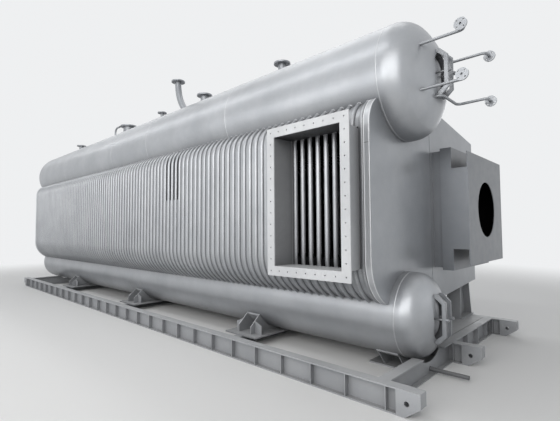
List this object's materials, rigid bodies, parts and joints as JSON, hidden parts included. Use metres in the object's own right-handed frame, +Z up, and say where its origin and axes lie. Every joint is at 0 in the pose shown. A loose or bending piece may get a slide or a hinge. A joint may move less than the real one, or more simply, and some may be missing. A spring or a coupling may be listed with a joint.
{
  "type": "industrial boiler",
  "caption": "Packaged water-tube steam boiler: two drums, a wall of bent tubes, a tube-walled furnace with a burner box and a flue duct, on a lifting skid of steel beams.",
  "frame": {"origin": "on the floor under the skid's centre beam, at its first stiffener", "axes": "+Y along the drums from the burner end to the rear end, +X from the gas side to the furnace side, +Z up"},
  "size_m": [3.122, 11.2615, 4.0188],
  "materials": {
    "silver_paint": "satin aluminium paint",
    "skid_paint": "satin blue-grey paint",
    "duct_paint": "satin pale grey paint"
  },
  "bodies": {
    "root": {"skid_left_beam": "skid_paint", "skid_centre_beam": "skid_paint", "skid_right_beam": "skid_paint", "front_cross_beam": "skid_paint", "rear_cross_beam": "skid_paint", "saddle_cross_beams": "skid_paint", "leg_deck_plate": "skid_paint", "drum_saddle_front": "skid_paint", "drum_saddle_second": "skid_paint", "drum_saddle_third": "skid_paint", "drum_saddle_fourth": "skid_paint", "drum_saddle_rear": "skid_paint", "furnace_legs": "skid_paint", "lower_drum_shell": "silver_paint", "lower_drum_front_head": "silver_paint", "lower_drum_rear_head": "silver_paint", "upper_drum_shell": "silver_paint", "upper_drum_front_head": "silver_paint", "upper_drum_rear_head": "silver_paint", "lower_manhole_cover": "silver_paint", "lower_manhole_yokes": "silver_paint", "upper_manhole_cover": "silver_paint", "upper_manhole_yokes": "silver_paint", "gas_wall_tubes": "silver_paint", "gas_wall_top_bend": "silver_paint", "gas_wall_bottom_bend": "silver_paint", "furnace_roof_tubes": "silver_paint", "furnace_roof_bend": "silver_paint", "furnace_side_tubes": "silver_paint", "furnace_floor_bend": "silver_paint", "furnace_floor_tubes": "silver_paint", "front_casing": "silver_paint", "front_edge_band": "silver_paint", "furnace_front_wall": "silver_paint", "rear_casing": "silver_paint", "rear_edge_band": "silver_paint", "flue_duct": "duct_paint", "flue_duct_flange": "duct_paint", "burner_rear_box": "silver_paint", "burner_neck": "silver_paint", "burner_front_plate": "silver_paint", "steam_outlet_nozzle": "silver_paint", "safety_valve_nozzles": "silver_paint", "feed_water_nozzle": "silver_paint", "auxiliary_nozzle": "silver_paint", "gooseneck_nozzle": "silver_paint", "vent_pipe": "silver_paint", "upper_gauge_pipes": "silver_paint", "lower_gauge_pipes": "silver_paint", "blowdown_pipe": "skid_paint"}
  },
  "joints": []
}
